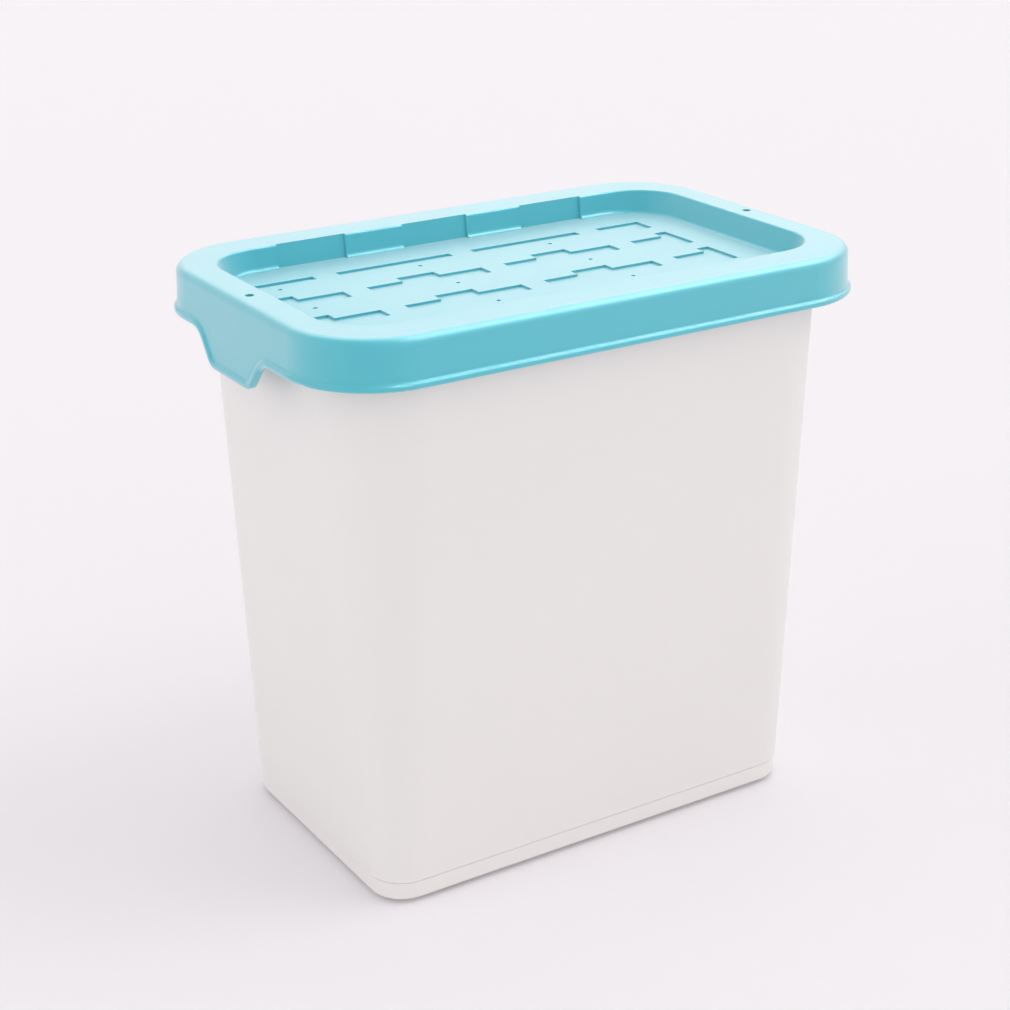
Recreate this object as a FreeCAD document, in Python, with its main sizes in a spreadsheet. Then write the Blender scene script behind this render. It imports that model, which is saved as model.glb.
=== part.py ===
"""Storage container: a tapered moulded tub, and a lid with a tray sunk into its top.

The origin is under the middle of the foot, on the surface that the container stands on. +Z is up,
X runs along the long sides and Y along the short ones. All sizes are in millimetres.
"""
import FreeCAD, Part
import math
import os
import Sketcher

doc = FreeCAD.newDocument("StorageContainer")

SIZES = [
    ("total_height", 302, "from the ground to the top of the lid's rim"),
    # lid, outside
    ("lid_length", 311, "rim, before its edge is rounded"),
    ("lid_width", 199, "rim, before its edge is rounded"),
    ("lid_corner", 43, "corner radius of the rim"),
    ("lid_wall", 2, "wall of the lid everywhere"),
    ("rim_round", 4.5, "rounding of the rim's outer edge"),
    ("skirt_height", 24, "from the top of the rim down to the hem"),
    ("skirt_flare", 0.9, "how far the skirt leans out over that height"),
    ("bead_height", 3.3, "band along the hem"),
    ("bead_out", 1.5, "how far the band stands out from the skirt"),
    ("bead_round", 1.3, "rounding of the band's outer edges"),
    # grip tab in the middle of each short side
    ("tab_drop", 16.2, "how far the tab hangs below the hem"),
    ("tab_flat", 34, "straight length of the tab's lower edge"),
    ("tab_shift", 3.8, "how far the tab sits behind the middle of the side"),
    ("tab_slope", 50, "slope of the tab's sides, in degrees"),
    ("tab_shoulder", 14, "radius where the hem turns down into the tab"),
    ("tab_toe", 9, "radius of the tab's lower corners"),
    # tray sunk into the lid
    ("rim_end", 17.3, "width of the rim at the short sides"),
    ("rim_side", 22.9, "width of the rim at the long sides"),
    ("tray_corner", 28, "corner radius of the tray's opening"),
    ("tray_depth", 12.2, "from the rim down to the floor"),
    ("end_lean", 5, "how far each short wall comes in over that depth"),
    ("side_lean", 1.3, "how far each long wall comes in over that depth"),
    ("lip_round", 1.2, "rounding where the rim turns down into the tray"),
    ("floor_round", 2.5, "rounding where the walls meet the floor"),
    ("bay_length", 39.5, "shallow bays along the long walls"),
    ("bay_pitch", 73.3, "from one bay to the next"),
    ("bay_shift", 2.4, "how far the middle bay sits to the left of the tray's middle"),
    ("bay_depth", 1.4, "how far a bay goes back into the wall"),
    ("vent_bore", 4.5, "hole in the rim at the middle of each short side"),
    # pattern sunk into the tray's floor
    ("relief_depth", 1.2, "depth of the cells"),
    ("left_margin", 6.7, "from the tray's left wall to the pattern"),
    ("right_margin", 21.2, "from the tray's right wall to the pattern"),
    ("back_margin", 23.1, "from the tray's back wall to the pattern"),
    ("back_cut", 5.2, "how much the pattern's back edge cuts off its first row"),
    ("row_pitch", 38, "from one row of cells to the next"),
    ("cell_gap", 13, "between the cells of a row"),
    ("cell_width", 10.5, "width of a cell's arms"),
    ("bump_inset", 20.5, "from a cell's left end to its wider middle"),
    ("bump_length", 21.5, "length of that middle"),
    ("bump_reach", 6.6, "how far it reaches past the arms"),
    ("right_cell", 28, "what the right end shows of a cell"),
    ("right_reach", 9.5, "how far that end reaches to the front"),
    ("dimple_bore", 2.4, "small round dimples in front of the cells"),
    ("dimple_depth", 0.6, "their depth"),
    ("dimple_inset", 42.2, "from a cell's left end to its dimple"),
    ("dimple_front", 7.4, "from a cell's front edge to its dimple"),
    # tub
    ("skirt_gap_end", 9, "from the skirt in to the collar at the short sides"),
    ("skirt_gap_side", 1.3, "from the skirt in to the collar at the long sides"),
    ("mouth_gap", 1.8, "below the tray, down to the tub's filled inside"),
    ("collar_step", 4, "how far the collar stands out from the wall below"),
    ("collar_base", 2, "from the filled inside down to the collar's foot"),
    ("shoulder_rise", 3, "height of the slope that leads out to the collar"),
    ("tub_wall", 2.5, "wall of the collar"),
    ("mouth_corner", 43, "corner radius of the tub under its shoulder"),
    ("wall_lean", 13.55, "how far each wall leans out from foot to shoulder"),
    ("base_corner", 19, "corner radius of the wall's lower end"),
    ("step_round", 1.2, "rounding of the wall's lower edge"),
    ("foot_height", 12, "from the ground to the wall's lower end"),
    ("foot_inset", 0.6, "how far the foot stands back from the wall"),
    ("foot_round", 2.4, "rounding of the foot's lower edge"),
    ("ring_height", 2, "height of the ring that the tub stands on"),
    ("ring_inset", 5, "how far that ring is set back from the foot"),
    ("ring_width", 8, "width of that ring"),
    ("base_recess", 4, "height of the hollow inside the ring"),
]
COLUMNS = 3     # lengths of the pattern, each one cell and one gap
ROWS = 3        # rows of cells
BAYS = 3        # bays along each long wall

sheet = doc.addObject("Spreadsheet::Sheet", "Sizes")
for line, (alias, value, note) in enumerate(SIZES, start=1):
    sheet.set(f"A{line}", alias)
    sheet.set(f"B{line}", str(value))
    sheet.set(f"C{line}", note)
    sheet.setAlias(f"B{line}", alias)
doc.recompute()

# Levels and outlines that follow from the sheet, as expressions.
TOP = "Sizes.total_height"
SEAT = f"({TOP} - Sizes.lid_wall)"
HEM = f"({TOP} - Sizes.skirt_height)"
TAB_END = f"({HEM} - Sizes.tab_drop)"
FLOOR = f"({TOP} - Sizes.tray_depth)"
UNDERSIDE = f"({FLOOR} - Sizes.lid_wall)"
MOUTH_FLOOR = f"({UNDERSIDE} - Sizes.relief_depth - Sizes.mouth_gap)"
COLLAR_FOOT = f"({MOUTH_FLOOR} - Sizes.collar_base)"
SHOULDER = f"({COLLAR_FOOT} - Sizes.shoulder_rise)"

RIM = ("Sizes.lid_length", "Sizes.lid_width", "Sizes.lid_corner")
TRAY = ("(Sizes.lid_length - 2 * Sizes.rim_end)", "(Sizes.lid_width - 2 * Sizes.rim_side)",
        "Sizes.tray_corner")
TRAY_FLOOR = (f"({TRAY[0]} - 2 * Sizes.end_lean)", f"({TRAY[1]} - 2 * Sizes.side_lean)",
              f"({TRAY[2]} - Sizes.side_lean)")
COLLAR = ("(Sizes.lid_length - 2 * (Sizes.lid_wall + Sizes.skirt_gap_end))",
          "(Sizes.lid_width - 2 * (Sizes.lid_wall + Sizes.skirt_gap_side))",
          "(Sizes.mouth_corner + Sizes.collar_step)")


def number(expression):
    """The present value of an expression over the sheet."""
    return float(sheet.evalExpression(expression.replace("Sizes.", "")))


def point(x, y):
    return FreeCAD.Vector(x, y, 0)


def origin_item(body, role):
    return next(item for item in body.Origin.OriginFeatures if item.Role == role)


def new_body(label):
    body = doc.addObject("PartDesign::Body", label)
    body.Label = label
    body.Placement = FreeCAD.Placement()
    return body


def new_sketch(body, name, role, offset="0"):
    """Empty sketch on one of the body's origin planes, moved along its normal by an expression."""
    sketch = body.newObject("Sketcher::SketchObject", name)
    sketch.AttachmentSupport = [(origin_item(body, role), "")]
    sketch.MapMode = "FlatFace"
    sketch.setExpression("AttachmentOffset.Base.z", offset)
    return sketch


def fix(sketch, kind, *where, scale=1.0, unit=""):
    """Add a dimension, whose last item is the expression that it is tied to."""
    *places, expression = where
    index = sketch.addConstraint(Sketcher.Constraint(kind, *places, number(expression) * scale))
    sketch.setExpression(f"Constraints[{index}]", expression + unit)


def relate(sketch, kind, *where):
    sketch.addConstraint(Sketcher.Constraint(kind, *where))


def grown(outline, by_x, by_y=None, by_corner=None):
    """An outline's length, width and corner radius, moved out by expressions."""
    length, width, corner = outline
    return (f"({length} + 2 * {by_x})", f"({width} + 2 * {by_y or by_x})",
            f"({corner} + {by_corner or by_x})")


def rounded_rectangle(body, name, level, outline):
    """Rounded rectangle about the Z axis, in a level plane."""
    length, width, corner = outline
    sketch = new_sketch(body, name, "XY_Plane", level)
    half_x, half_y, radius = number(length) / 2, number(width) / 2, number(corner)
    in_x, in_y = half_x - radius, half_y - radius
    sides = [((in_x, half_y), (-in_x, half_y)), ((-half_x, in_y), (-half_x, -in_y)),
             ((-in_x, -half_y), (in_x, -half_y)), ((half_x, -in_y), (half_x, in_y))]
    for start, end in sides:
        sketch.addGeometry(Part.LineSegment(point(*start), point(*end)))
    centres = [(-in_x, in_y), (-in_x, -in_y), (in_x, -in_y), (in_x, in_y)]
    for quarter, centre in enumerate(centres, start=1):
        circle = Part.Circle(point(*centre), FreeCAD.Vector(0, 0, 1), radius)
        sketch.addGeometry(Part.ArcOfCircle(circle, quarter * math.pi / 2, (quarter + 1) * math.pi / 2))
    for side in range(4):
        relate(sketch, "Tangent", side, 2, 4 + side, 1)
        relate(sketch, "Tangent", 4 + side, 2, (side + 1) % 4, 1)
        relate(sketch, "Vertical" if side % 2 else "Horizontal", side)
    for arc in (5, 6, 7):
        relate(sketch, "Equal", 4, arc)
    relate(sketch, "Symmetric", 4, 3, 6, 3, -1, 1)
    fix(sketch, "Radius", 4, corner)
    fix(sketch, "DistanceX", 1, 1, 3, 1, length)
    fix(sketch, "DistanceY", 2, 1, 0, 1, width)
    return sketch


def polygon(body, name, level, corners):
    """Closed outline in a level plane through corners that are pairs of expressions."""
    sketch = new_sketch(body, name, "XY_Plane", level)
    places = [point(number(x), number(y)) for x, y in corners]
    count = len(places)
    for index in range(count):
        sketch.addGeometry(Part.LineSegment(places[index], places[(index + 1) % count]))
    for index, (x, y) in enumerate(corners):
        relate(sketch, "Coincident", index, 2, (index + 1) % count, 1)
        fix(sketch, "DistanceX", -1, 1, index, 1, x)
        fix(sketch, "DistanceY", -1, 1, index, 1, y)
    return sketch


def circle_at(body, name, level, x, y, bore):
    """Circle in a level plane, at a place and of a diameter given by expressions."""
    sketch = new_sketch(body, name, "XY_Plane", level)
    centre = point(number(x), number(y))
    sketch.addGeometry(Part.Circle(centre, FreeCAD.Vector(0, 0, 1), number(bore) / 2))
    fix(sketch, "Diameter", 0, bore)
    fix(sketch, "DistanceX", -1, 1, 0, 3, x)
    fix(sketch, "DistanceY", -1, 1, 0, 3, y)
    return sketch


def hem_outline(body, name, rise, closing):
    """Hem line with a tab in its middle, raised by an expression, and closed off at a level.

    The outline stands in the YZ plane. The hem runs level, turns down along an arc, a straight slope
    and a second arc to the tab's flat lower edge, and comes back up the same way.
    """
    sketch = new_sketch(body, name, "YZ_Plane")
    hem, low, end = f"({HEM} + {rise})", f"({TAB_END} + {rise})", f"({closing})"
    shoulder, toe = f"(Sizes.tab_shoulder + {rise})", f"(Sizes.tab_toe - {rise})"
    slope = math.radians(number("Sizes.tab_slope"))
    big, small, flat = number(shoulder), number(toe), number("Sizes.tab_flat / 2")
    drop = number(hem) - number(low)
    straight = (drop - (big + small) * (1 - math.cos(slope))) / math.sin(slope)
    reach = flat + (big + small) * math.sin(slope) + straight * math.cos(slope)
    turn = math.pi / 2 - slope
    far = number("Sizes.lid_width")

    def arc(y, z, radius, start, stop):
        circle = Part.Circle(point(y, z), FreeCAD.Vector(0, 0, 1), radius)
        return Part.ArcOfCircle(circle, start, stop)

    left_shoulder = arc(-reach, number(hem) - big, big, turn, math.pi / 2)
    left_toe = arc(-flat, number(low) + small, small, math.pi + turn, 1.5 * math.pi)
    right_toe = arc(flat, number(low) + small, small, 1.5 * math.pi, 2 * math.pi - turn)
    right_shoulder = arc(reach, number(hem) - big, big, math.pi / 2, math.pi - turn)
    hem_left, hem_right = point(-far, number(hem)), point(far, number(hem))
    end_left, end_right = point(-far, number(end)), point(far, number(end))
    parts = [
        Part.LineSegment(hem_left, left_shoulder.EndPoint), left_shoulder,
        Part.LineSegment(left_toe.StartPoint, left_shoulder.StartPoint), left_toe,
        Part.LineSegment(left_toe.EndPoint, right_toe.StartPoint), right_toe,
        Part.LineSegment(right_toe.EndPoint, right_shoulder.EndPoint), right_shoulder,
        Part.LineSegment(right_shoulder.StartPoint, hem_right),
        Part.LineSegment(hem_right, end_right), Part.LineSegment(end_right, end_left),
        Part.LineSegment(end_left, hem_left),
    ]
    for part in parts:
        part.translate(point(number("Sizes.tab_shift"), 0))
        sketch.addGeometry(part)
    for places in ((0, 2, 1, 2), (2, 2, 1, 1), (2, 1, 3, 1), (3, 2, 4, 1), (4, 2, 5, 1), (5, 2, 6, 1),
                   (6, 2, 7, 2), (7, 1, 8, 1)):
        relate(sketch, "Tangent", *places)
    for places in ((8, 2, 9, 1), (9, 2, 10, 1), (10, 2, 11, 1), (11, 2, 0, 1)):
        relate(sketch, "Coincident", *places)
    for side in (0, 4, 8, 10):
        relate(sketch, "Horizontal", side)
    for side in (9, 11):
        relate(sketch, "Vertical", side)
    relate(sketch, "Equal", 1, 7)
    relate(sketch, "Equal", 3, 5)
    fix(sketch, "Radius", 1, shoulder)
    fix(sketch, "Radius", 3, toe)
    fix(sketch, "Angle", 6, "Sizes.tab_slope", scale=math.pi / 180, unit=" * 1 deg")
    fix(sketch, "Angle", 2, "(180 - Sizes.tab_slope)", scale=math.pi / 180, unit=" * 1 deg")
    fix(sketch, "DistanceX", 4, 1, -1, 1, "(Sizes.tab_flat / 2 - Sizes.tab_shift)")
    fix(sketch, "DistanceX", -1, 1, 4, 2, "(Sizes.tab_flat / 2 + Sizes.tab_shift)")
    fix(sketch, "DistanceX", 0, 1, -1, 1, "Sizes.lid_width")
    fix(sketch, "DistanceX", -1, 1, 8, 2, "Sizes.lid_width")
    fix(sketch, "DistanceY", -1, 1, 4, 1, low)
    fix(sketch, "DistanceY", -1, 1, 0, 1, hem)
    fix(sketch, "DistanceY", -1, 1, 8, 2, hem)
    fix(sketch, "DistanceY", -1, 1, 10, 1, end)
    return sketch


def loft(body, name, sketches, cuts=False):
    """Straight-sided loft through level outlines, added to the body or cut out of it."""
    feature = body.newObject("PartDesign::SubtractiveLoft" if cuts else "PartDesign::AdditiveLoft", name)
    feature.Profile = sketches[0]
    feature.Sections = sketches[1:]
    feature.Ruled = True
    doc.recompute()
    return feature


def rounded_loft(body, name, *sections, cuts=False):
    """Loft through rounded rectangles from the lowest up, each given as its level and its outline."""
    sketches = [rounded_rectangle(body, f"{name}Section{count}", *section)
                for count, section in enumerate(sections, start=1)]
    return loft(body, name, sketches, cuts)


def eased(level, outline, radius, steps=3):
    """Sections that round off the lower edge of an outline that begins at a level."""
    sections = []
    for step in range(steps + 1):
        angle = step / steps * math.pi / 2
        rise, inset = 1 - math.cos(angle), 1 - math.sin(angle)
        sections.append((f"({level} + {rise:.4f} * {radius})", grown(outline, f"(-{inset:.4f} * {radius})")))
    return sections


def pad(body, name, sketch, height, down=False):
    feature = body.newObject("PartDesign::Pad", name)
    feature.Profile = sketch
    feature.setExpression("Length", height)
    feature.Reversed = down
    doc.recompute()
    return feature


def pocket(body, name, sketch, depth, up=False):
    """Cut an outline out of the body, downwards from its plane unless it is told otherwise."""
    before = body.Shape.Volume
    feature = body.newObject("PartDesign::Pocket", name)
    feature.Profile = sketch
    feature.setExpression("Length", depth)
    feature.Reversed = up
    doc.recompute()
    check_cut(body, name, before)
    return feature


def cut_through(body, name, sketch):
    """Cut an outline right through the body, both ways from its plane."""
    before = body.Shape.Volume
    feature = body.newObject("PartDesign::Pocket", name)
    feature.Profile = sketch
    feature.SideType = "Two sides"
    feature.Type = "ThroughAll"
    feature.Type2 = "ThroughAll"
    doc.recompute()
    check_cut(body, name, before)
    return feature


def check_cut(body, name, before):
    if body.Shape.Volume > before - 1e-6:
        raise ValueError(f"{name} takes nothing away")


def round_edges(body, name, radius, chosen):
    """Fillet those edges of the body that a test picks out."""
    base = body.Tip
    names = [f"Edge{count}" for count, edge in enumerate(base.Shape.Edges, start=1) if chosen(edge)]
    feature = body.newObject("PartDesign::Fillet", name)
    feature.Base = (base, names)
    feature.setExpression("Radius", radius)
    doc.recompute()
    return feature


def edges_at(level, within=None):
    """Test for edges that lie in a level plane, and inside an outline if one is given."""
    height = number(level)
    limit = number(within[0]) / 2 + 0.01 if within else math.inf

    def chosen(edge):
        box = edge.BoundBox
        in_plane = abs(box.ZMin - height) < 1e-4 and abs(box.ZMax - height) < 1e-4
        return in_plane and -limit < box.XMin and box.XMax < limit

    return chosen


def hem_edges(rise):
    """Test for edges that follow the hem line and its tabs, raised by an expression, all round the body."""
    lowest, highest = number(f"({TAB_END} + {rise})"), number(f"({HEM} + {rise})")

    def chosen(edge):
        box = edge.BoundBox
        level = box.ZMax - box.ZMin < 1e-4 and min(abs(box.ZMin - lowest), abs(box.ZMin - highest)) < 1e-4
        return level or (lowest - 1e-4 < box.ZMin and box.ZMax < highest + 1e-4 and box.XLength < 2)

    return chosen


def repeat(body, name, originals, columns=(1, "0"), rows=(1, "0"), mirrored=False):
    """Repeat features along +X and -Y, each given as a count and a pitch, and mirror them to -Y if asked."""
    result = body.newObject("PartDesign::MultiTransform", name)
    steps = []
    for suffix, axis, backward, (count, pitch) in (("Along", "X_Axis", False, columns),
                                                   ("Across", "Y_Axis", True, rows)):
        if count > 1:
            step = body.newObject("PartDesign::LinearPattern", name + suffix)
            step.Direction = (origin_item(body, axis), [""])
            step.Reversed = backward
            step.Mode = "Spacing"
            step.setExpression("Offset", pitch)
            step.Occurrences = count
            steps.append(step)
    if mirrored:
        mirror = body.newObject("PartDesign::Mirrored", name + "Mirror")
        mirror.MirrorPlane = (origin_item(body, "XZ_Plane"), [""])
        steps.append(mirror)
    result.Originals = originals
    result.Transformations = steps
    body.Tip = result
    doc.recompute()
    return result


def make_container():
    """The tub: drafted walls on a set-back foot, and a collar round a mouth that the tray hangs into."""
    body = new_body("container")
    under_collar = grown(COLLAR, "(-Sizes.collar_step)")
    wall_foot = (f"({under_collar[0]} - 2 * Sizes.wall_lean)", f"({under_collar[1]} - 2 * Sizes.wall_lean)",
                 "Sizes.base_corner")
    foot = grown(wall_foot, "(-Sizes.foot_inset)")
    ring = grown(foot, "(-Sizes.ring_inset)")
    recess = grown(ring, "(-Sizes.ring_width)")
    mouth = grown(COLLAR, "(-Sizes.tub_wall)")

    rounded_loft(body, "Wall", *eased("Sizes.foot_height", wall_foot, "Sizes.step_round"),
                 (SHOULDER, under_collar))
    rounded_loft(body, "Shoulder", (SHOULDER, under_collar), (COLLAR_FOOT, COLLAR))
    pad(body, "Collar", rounded_rectangle(body, "CollarOutline", COLLAR_FOOT, COLLAR),
        f"{SEAT} - {COLLAR_FOOT}")
    pad(body, "Foot", rounded_rectangle(body, "FootOutline", "Sizes.ring_height", foot),
        "Sizes.foot_height - Sizes.ring_height")
    round_edges(body, "FootRound", "Sizes.foot_round", edges_at("Sizes.ring_height"))
    pad(body, "Ring", rounded_rectangle(body, "RingOutline", "0", ring), "Sizes.ring_height")
    pocket(body, "Mouth", rounded_rectangle(body, "MouthOutline", SEAT, mouth), f"{SEAT} - {MOUTH_FLOOR}")
    pocket(body, "BaseRecess", rounded_rectangle(body, "RecessOutline", "0", recess),
           "Sizes.base_recess", up=True)
    return body


def skirt_outline(level, by="0"):
    """The skirt's outline at a level, moved out by an expression."""
    flare = f"Sizes.skirt_flare * ({TOP} - {level}) / Sizes.skirt_height"
    return grown(RIM, f"({flare} + {by})")


def make_lid():
    """The lid: a rounded rim, a drafted skirt with a banded hem and two grip tabs, and a patterned tray."""
    body = new_body("lid")
    low = f"({TAB_END} - 1)"
    band_top = f"({HEM} + Sizes.bead_height + 1)"

    rounded_loft(body, "Band", (low, skirt_outline(low, "Sizes.bead_out")),
                 (band_top, skirt_outline(band_top, "Sizes.bead_out")))
    cut_through(body, "OverBand", hem_outline(body, "OverBandOutline", "Sizes.bead_height", TOP))
    round_edges(body, "BandTop", "Sizes.bead_round", hem_edges("Sizes.bead_height"))
    rounded_loft(body, "Skirt", (low, skirt_outline(low)), (TOP, skirt_outline(TOP)))
    cut_through(body, "UnderHem", hem_outline(body, "UnderHemOutline", "0", "0"))
    round_edges(body, "BandFoot", "Sizes.bead_round", hem_edges("0"))
    round_edges(body, "RimRound", "Sizes.rim_round", edges_at(TOP))
    rounded_loft(body, "Cavity", (low, skirt_outline(low, "(-Sizes.lid_wall)")),
                 (SEAT, skirt_outline(SEAT, "(-Sizes.lid_wall)")), cuts=True)
    make_tray(body)
    vents = circle_at(body, "VentOutline", TOP, "-(Sizes.lid_length - Sizes.rim_end) / 2", "0",
                      "Sizes.vent_bore")
    vent = pocket(body, "Vent", vents, "Sizes.lid_wall + 1")
    repeat(body, "Vents", [vent], columns=(2, "Sizes.lid_length - Sizes.rim_end"))
    return body


def make_tray(body):
    """Tray with bays along its long walls and a pattern of sunken cells in its floor."""
    behind_bays = "(Sizes.lid_wall + Sizes.bay_depth)"
    rounded_loft(body, "TrayBlock", (UNDERSIDE, grown(TRAY_FLOOR, "Sizes.lid_wall", behind_bays)),
                 (TOP, grown(TRAY, "Sizes.lid_wall", behind_bays)))
    rounded_loft(body, "Tray", (FLOOR, TRAY_FLOOR), (TOP, TRAY), cuts=True)
    round_edges(body, "LipRound", "Sizes.lip_round", edges_at(TOP, TRAY))
    round_edges(body, "FloorRound", "Sizes.floor_round", edges_at(FLOOR))

    left = f"(-Sizes.bay_shift - {(BAYS - 1) / 2} * Sizes.bay_pitch - Sizes.bay_length / 2)"
    right = f"({left} + Sizes.bay_length)"
    inside = f"({TRAY_FLOOR[1]} / 2 - Sizes.floor_round)"
    outlines = [polygon(body, name, level, [(left, inside), (right, inside),
                                            (right, f"({width} / 2 + Sizes.bay_depth)"),
                                            (left, f"({width} / 2 + Sizes.bay_depth)")])
                for name, level, width in (("BayFoot", FLOOR, TRAY_FLOOR[1]), ("BayTop", TOP, TRAY[1]))]
    bay = loft(body, "Bay", outlines, cuts=True)
    repeat(body, "Bays", [bay], columns=(BAYS, "Sizes.bay_pitch"), mirrored=True)
    make_relief(body)


def make_relief(body):
    """Rows of sunken cells, one length of the pattern after another, cut off at both ends."""
    begin = f"(-{TRAY_FLOOR[0]} / 2 + Sizes.left_margin)"
    finish = f"({TRAY_FLOOR[0]} / 2 - Sizes.right_margin)"
    pitch = f"(({finish} - {begin}) / {COLUMNS})"
    length = f"({pitch} - Sizes.cell_gap)"
    whole = f"({begin} + {length} - Sizes.right_cell + Sizes.cell_gap)"    # left end of the first whole cell
    last = f"({finish} - Sizes.right_cell)"
    back = f"({TRAY_FLOOR[1]} / 2 - Sizes.back_margin + Sizes.back_cut)"
    front = f"({back} - Sizes.cell_width)"

    def bump(start):
        return f"({start} + Sizes.bump_inset)", f"({start} + Sizes.bump_inset + Sizes.bump_length)"

    def cells(name, row, end_left, end_right, bump_left, bump_right, reach, columns):
        """A cell as its arms' ends, its wider middle's ends, and its reach to the back and the front."""
        cut = "0" if row else "Sizes.back_cut"
        arm_front = f"({front} - {row} * Sizes.row_pitch)"
        arm_back = f"({back} - {cut} - {row} * Sizes.row_pitch)"
        far_back, far_front = f"({arm_back} + {reach[0]})", f"({arm_front} - {reach[1]})"
        corners = [(end_left, arm_front), (bump_left, arm_front), (bump_left, far_front),
                   (bump_right, far_front), (bump_right, arm_front), (end_right, arm_front),
                   (end_right, arm_back), (bump_right, arm_back), (bump_right, far_back),
                   (bump_left, far_back), (bump_left, arm_back), (end_left, arm_back)]
        corners = simplified(corners)
        boss = pad(body, name + "Boss", polygon(body, name + "BossOutline", UNDERSIDE, offset(corners)),
                   "Sizes.relief_depth", down=True)
        cell = pocket(body, name, polygon(body, name + "Outline", FLOOR, corners), "Sizes.relief_depth")
        rows = 1 if row == 0 else ROWS - 1
        if columns > 1 or rows > 1:
            repeat(body, name + "s", [boss, cell], (columns, pitch), (rows, "Sizes.row_pitch"))

    part_end = f"({whole} - Sizes.cell_gap)"
    before = f"({whole} - {pitch})"
    for name, row, reach in (("Back", 0, "0"), ("Front", 1, "Sizes.bump_reach")):
        cells(name + "Whole", row, whole, f"({whole} + {length})", *bump(whole), (reach, "0"), COLUMNS - 1)
        cells(name + "Left", row, begin, part_end, begin, bump(before)[1], (reach, "0"), 1)
        cells(name + "Right", row, last, finish, bump(last)[0], finish, (reach, "Sizes.right_reach"), 1)
    dimple = circle_at(body, "DimpleOutline", FLOOR, f"({before} + Sizes.dimple_inset)",
                       f"({front} - Sizes.dimple_front)", "Sizes.dimple_bore")
    dimple = pocket(body, "Dimple", dimple, "Sizes.dimple_depth")
    repeat(body, "Dimples", [dimple], (COLUMNS, pitch), (ROWS, "Sizes.row_pitch"))


def simplified(corners):
    """Corners of a level outline without repeated ones and without those that lie on a straight side."""
    kept = [corner for index, corner in enumerate(corners)
            if place(corner) != place(corners[index - 1])]
    count = len(kept)
    return [kept[index] for index in range(count)
            if not on_line(kept[index - 1], kept[index], kept[(index + 1) % count])]


def place(corner):
    return round(number(corner[0]), 6), round(number(corner[1]), 6)


def on_line(first, middle, last):
    (ax, ay), (bx, by), (cx, cy) = place(first), place(middle), place(last)
    return ax == bx == cx or ay == by == cy


def offset(corners):
    """A level square-cornered outline, run anticlockwise, moved out by the lid's wall."""
    moved = []
    for index, (x, y) in enumerate(corners):
        (ax, ay), (bx, by), (cx, cy) = (place(corners[index - 1]), place((x, y)),
                                        place(corners[(index + 1) % len(corners)]))
        along_x, along_y = (bx - ax) + (cx - bx), (by - ay) + (cy - by)
        sign_x = "+" if along_y > 0 else "-"
        sign_y = "-" if along_x > 0 else "+"
        moved.append((f"({x} {sign_x} Sizes.lid_wall)", f"({y} {sign_y} Sizes.lid_wall)"))
    return moved


def export(bodies):
    """Check every object of the document, then write one STEP file for each body."""
    doc.recompute()
    failed = [item.Label for item in doc.Objects if {"Invalid", "Error"} & set(item.State)]
    failed += [body.Label for body in bodies if body.Shape.isNull() or not body.Shape.isValid()]
    if failed:
        raise ValueError(f"failed: {failed}")
    os.makedirs("parts", exist_ok=True)
    for body in bodies:
        body.Shape.exportStep(f"parts/{body.Label}.step")
        box = body.Shape.BoundBox
        print(f"{body.Label}: {len(body.Shape.Solids)} solid, {body.Shape.Volume / 1000:.1f} cm3, "
              f"{box.XLength:.1f} x {box.YLength:.1f} x {box.ZLength:.1f}, from Z {box.ZMin:.2f}")


export([make_container(), make_lid()])
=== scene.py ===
"""Looks of the plastic storage container: materials, floor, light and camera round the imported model."""
import math
from collections import namedtuple

import bpy
from mathutils import Matrix, Vector


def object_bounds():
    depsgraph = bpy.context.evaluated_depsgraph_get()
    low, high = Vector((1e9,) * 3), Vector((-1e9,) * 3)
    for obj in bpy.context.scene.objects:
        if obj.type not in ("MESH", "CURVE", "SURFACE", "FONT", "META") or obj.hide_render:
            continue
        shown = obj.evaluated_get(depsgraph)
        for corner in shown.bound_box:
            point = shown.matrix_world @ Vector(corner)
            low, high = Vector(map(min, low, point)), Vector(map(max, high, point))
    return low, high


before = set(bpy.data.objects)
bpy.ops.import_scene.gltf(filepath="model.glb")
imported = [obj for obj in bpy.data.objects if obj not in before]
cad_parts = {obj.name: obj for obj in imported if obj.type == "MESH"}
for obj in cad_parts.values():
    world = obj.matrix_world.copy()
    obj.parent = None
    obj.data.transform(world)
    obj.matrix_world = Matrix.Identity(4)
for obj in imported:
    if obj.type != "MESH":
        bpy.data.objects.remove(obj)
cad_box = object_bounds()

MM = 0.001

# Colours are linear RGB.
WHITE_POLYPROPYLENE = (0.85, 0.825, 0.81)
AQUA_POLYPROPYLENE = (0.045, 0.50, 0.60)
FLOOR_WHITE = (0.92, 0.895, 0.92)
LAMP_WHITE = (1.0, 0.99, 0.995)
BACKDROP_WHITE = (0.95, 0.92, 0.945)    # the floor's colour as it renders at the horizon

# Noise scales are features per metre.
CLOUD_SCALE = 9         # slow drift of the colour
GLOSS_SCALE = 60        # patches of more and less gloss
RIPPLE_SCALE = 14       # faint sink ripples of the moulding
GRAIN_SCALE = 2500      # fine grain of the mould
RIPPLE_HEIGHT = 2 * MM
GRAIN_HEIGHT = 0.05 * MM
POLYPROPYLENE_IOR = 1.49
SHEEN_ROUGHNESS = 0.5

FLOOR_REACH = 12        # metres
FLOOR_CORNERS = 96
FLOOR_ROUGHNESS = 0.9
FLOOR_GLOSS = 0.1

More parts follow.
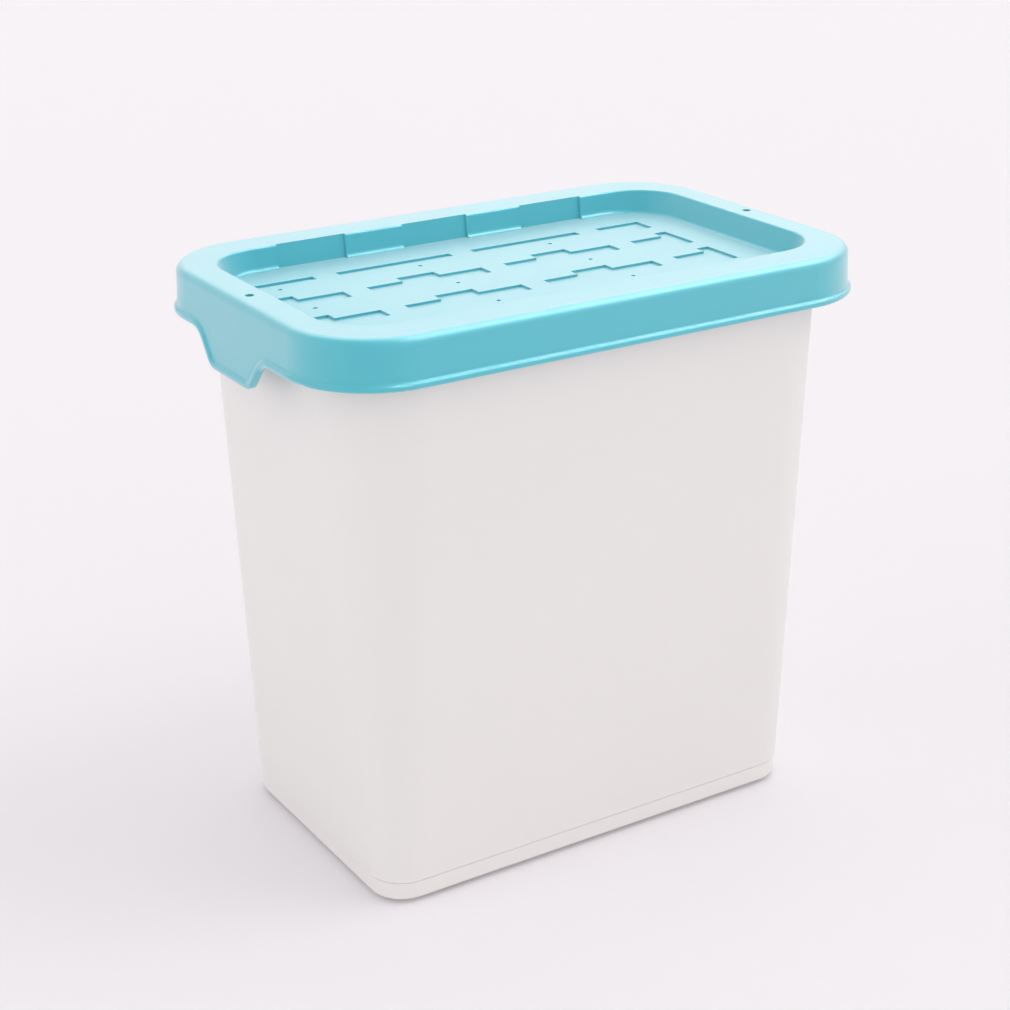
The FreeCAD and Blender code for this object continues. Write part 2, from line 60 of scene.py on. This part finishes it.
# A softbox is a far patch of light round a direction. It is full out to the inner angle and fades to
# nothing at the outer one, in degrees. It adds one brightness to matte surfaces, one to reflections.
Softbox = namedtuple("Softbox", "azimuth elevation inner outer matte mirrored")
FILL = 0.74             # even light from all round
SOFTBOXES = (
    Softbox(azimuth=62, elevation=50, inner=10, outer=24, matte=1.5, mirrored=14),       # key
    Softbox(azimuth=36, elevation=22, inner=8, outer=30, matte=0, mirrored=0.8),         # rim's front
    Softbox(azimuth=108, elevation=48, inner=14, outer=40, matte=0.15, mirrored=2.3),    # back right
    Softbox(azimuth=150, elevation=50, inner=20, outer=44, matte=0.15, mirrored=2.8),    # back
    Softbox(azimuth=8, elevation=5, inner=20, outer=50, matte=0.35, mirrored=0.35),      # front
    Softbox(azimuth=-105, elevation=5, inner=20, outer=50, matte=0.6, mirrored=0.7),     # left
)

SENSOR_WIDTH = 36       # millimetres, as the lens
TARGET_BELOW_TOP = 0.150


# ---------------------------------------------------------------- materials

def new_material(name):
    """A material with its nodes and its Principled shader."""
    material = bpy.data.materials.new(name)
    material.use_nodes = True
    tree = material.node_tree
    return material, tree, tree.nodes["Principled BSDF"]


def add_node(tree, kind, **inputs):
    """A node of that kind, with values set on its named inputs."""
    node = tree.nodes.new(kind)
    for name, value in inputs.items():
        node.inputs[name.replace("_", " ")].default_value = value
    return node


def noise(tree, scale, detail=2.0):
    """Noise over the object's own coordinates, with features of about 1/scale metres."""
    coordinates = add_node(tree, "ShaderNodeTexCoord")
    texture = add_node(tree, "ShaderNodeTexNoise", Scale=scale, Detail=detail)
    tree.links.new(coordinates.outputs["Object"], texture.inputs["Vector"])
    return texture.outputs["Fac"]


def spread(tree, value, low, high):
    """Maps a value of 0 to 1 on to low to high."""
    node = add_node(tree, "ShaderNodeMapRange", To_Min=low, To_Max=high)
    tree.links.new(value, node.inputs["Value"])
    return node.outputs["Result"]


def moulded_plastic(name, colour, shade, roughness, gloss, bloom, grain, ripple):
    """Moulded polypropylene: slightly uneven colour and gloss, fine grain and faint sink ripples."""
    material, tree, shader = new_material(name)
    mix = tree.nodes.new("ShaderNodeMix")
    mix.data_type = "RGBA"
    mix.inputs["A"].default_value = (*colour, 1)
    mix.inputs["B"].default_value = (*(channel * shade for channel in colour), 1)
    tree.links.new(noise(tree, CLOUD_SCALE), mix.inputs["Factor"])
    tree.links.new(mix.outputs["Result"], shader.inputs["Base Color"])
    low, high = roughness
    uneven = spread(tree, noise(tree, GLOSS_SCALE, detail=4), low, high)
    tree.links.new(uneven, shader.inputs["Roughness"])
    fine = add_node(tree, "ShaderNodeBump", Strength=grain, Distance=GRAIN_HEIGHT)
    tree.links.new(noise(tree, GRAIN_SCALE, detail=3), fine.inputs["Height"])
    broad = add_node(tree, "ShaderNodeBump", Strength=ripple, Distance=RIPPLE_HEIGHT)
    tree.links.new(noise(tree, RIPPLE_SCALE), broad.inputs["Height"])
    tree.links.new(fine.outputs["Normal"], broad.inputs["Normal"])
    tree.links.new(broad.outputs["Normal"], shader.inputs["Normal"])
    shader.inputs["IOR"].default_value = POLYPROPYLENE_IOR
    shader.inputs["Specular IOR Level"].default_value = gloss
    shader.inputs["Sheen Weight"].default_value = bloom
    shader.inputs["Sheen Roughness"].default_value = SHEEN_ROUGHNESS
    return material


def dress(node, material):
    """Gives the CAD node that material and leaves its shape as it is."""
    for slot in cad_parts[node].material_slots:
        slot.material = material


# ---------------------------------------------------------------- studio

def add_floor():
    """A pale round floor that the object stands on."""
    bpy.ops.mesh.primitive_circle_add(vertices=FLOOR_CORNERS, radius=FLOOR_REACH, fill_type="NGON")
    floor = bpy.context.object
    floor.name = "floor"
    material, tree, shader = new_material("floor")
    shader.inputs["Base Color"].default_value = (*FLOOR_WHITE, 1)
    shader.inputs["Roughness"].default_value = FLOOR_ROUGHNESS
    shader.inputs["Specular IOR Level"].default_value = FLOOR_GLOSS
    floor.data.materials.append(material)


def direction(azimuth, elevation):
    """Unit vector towards that azimuth (0 is the front, 90 the right) and elevation, in degrees."""
    a, e = math.radians(azimuth), math.radians(elevation)
    return Vector((math.sin(a) * math.cos(e), -math.cos(a) * math.cos(e), math.sin(e)))


def softbox_glow(tree, towards, glossy, box):
    """The brightness that one softbox adds in the direction that a ray leaves in."""
    near = tree.nodes.new("ShaderNodeVectorMath")
    near.operation = "DOT_PRODUCT"
    near.inputs[1].default_value = direction(box.azimuth, box.elevation)
    tree.links.new(towards, near.inputs[0])
    glow = add_node(tree, "ShaderNodeMapRange", From_Min=math.cos(math.radians(box.outer)),
                    From_Max=math.cos(math.radians(box.inner)))
    glow.interpolation_type = "SMOOTHSTEP"
    tree.links.new(near.outputs["Value"], glow.inputs["Value"])
    tree.links.new(spread(tree, glossy, box.matte, box.mirrored), glow.inputs["To Max"])
    return glow.outputs["Result"]


def light_world():
    """Even white light from all round and the softboxes, behind a plain backdrop.

    The camera sees only the backdrop, which has the floor's colour. The lights fall on the object.
    """
    world = bpy.data.worlds.new("studio")
    bpy.context.scene.world = world
    world.use_nodes = True
    tree = world.node_tree
    path = tree.nodes.new("ShaderNodeLightPath")
    towards = add_node(tree, "ShaderNodeTexCoord").outputs["Generated"]
    total = None
    for box in SOFTBOXES:
        add = tree.nodes.new("ShaderNodeMath")
        if total is None:
            add.inputs[0].default_value = FILL
        else:
            tree.links.new(total, add.inputs[0])
        tree.links.new(softbox_glow(tree, towards, path.outputs["Is Glossy Ray"], box), add.inputs[1])
        total = add.outputs["Value"]
    lights = tree.nodes["Background"]
    lights.inputs["Color"].default_value = (*LAMP_WHITE, 1)
    tree.links.new(total, lights.inputs["Strength"])
    backdrop = add_node(tree, "ShaderNodeBackground", Color=(*BACKDROP_WHITE, 1))
    seen = tree.nodes.new("ShaderNodeMixShader")
    tree.links.new(path.outputs["Is Camera Ray"], seen.inputs["Fac"])
    tree.links.new(lights.outputs["Background"], seen.inputs[1])
    tree.links.new(backdrop.outputs["Background"], seen.inputs[2])
    tree.links.new(seen.outputs["Shader"], tree.nodes["World Output"].inputs["Surface"])


def add_camera(target, azimuth, elevation, roll, distance, aside, above, lens):
    """The camera looks at a point that lies aside and above of the target, as the camera sees it."""
    back = direction(azimuth, elevation)
    right = Vector((math.cos(math.radians(azimuth)), math.sin(math.radians(azimuth)), 0))
    right = Matrix.Rotation(math.radians(roll), 3, back) @ right
    up = back.cross(right)
    data = bpy.data.cameras.new("camera")
    data.lens = lens
    data.sensor_width = SENSOR_WIDTH
    camera = bpy.data.objects.new("camera", data)
    bpy.context.collection.objects.link(camera)
    axes = Matrix((right, up, back)).transposed().to_4x4()
    place = target + distance * back + aside * right + above * up
    camera.matrix_world = Matrix.Translation(place) @ axes
    bpy.context.scene.camera = camera


# ---------------------------------------------------------------- the scene

dress("container", moulded_plastic(
    "white_polypropylene", WHITE_POLYPROPYLENE, shade=0.97, roughness=(0.36, 0.44),
    gloss=0.5, bloom=0.0, grain=0.1, ripple=0.05))
dress("lid", moulded_plastic(
    "aqua_polypropylene", AQUA_POLYPROPYLENE, shade=0.95, roughness=(0.40, 0.48),
    gloss=0.9, bloom=1.0, grain=0.1, ripple=0.04))

add_floor()
light_world()
top = cad_box[1][2]
add_camera(target=Vector((0, 0, top - TARGET_BELOW_TOP)), azimuth=-31.835, elevation=21.919,
           roll=-0.608, distance=1.0797, aside=-0.00671, above=0.01106, lens=72.715)

scene = bpy.context.scene
scene.view_settings.view_transform = "Standard"
